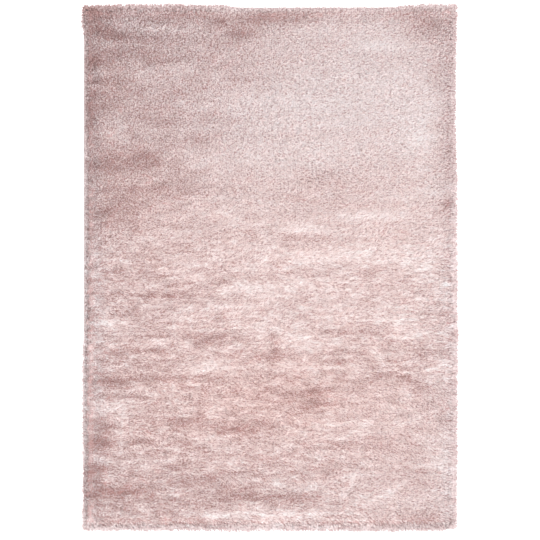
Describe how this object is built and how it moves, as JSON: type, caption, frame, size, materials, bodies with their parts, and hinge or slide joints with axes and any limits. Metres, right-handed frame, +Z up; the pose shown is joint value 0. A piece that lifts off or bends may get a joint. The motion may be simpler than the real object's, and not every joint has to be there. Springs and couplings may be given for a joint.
{
  "type": "shaggy pile rug",
  "caption": "Rectangular long-pile rug in pale dusty pink, lying flat: soft uneven cut pile on a woven ground cloth, with an overcast thread binding along its edges.",
  "frame": {"origin": "middle of the rug's outline, on the surface it lies on", "axes": "+X across the rug's width, +Y along its length, +Z up through the pile"},
  "size_m": [1.222, 1.7098, 0.026],
  "materials": {
    "pile": "soft cut pile with a faint sheen",
    "binding": "overcast polyester thread"
  },
  "bodies": {
    "root": {"pile_rug": "pile", "binding_left": "binding", "binding_right": "binding", "binding_top": "binding", "binding_bottom": "binding"}
  },
  "joints": []
}
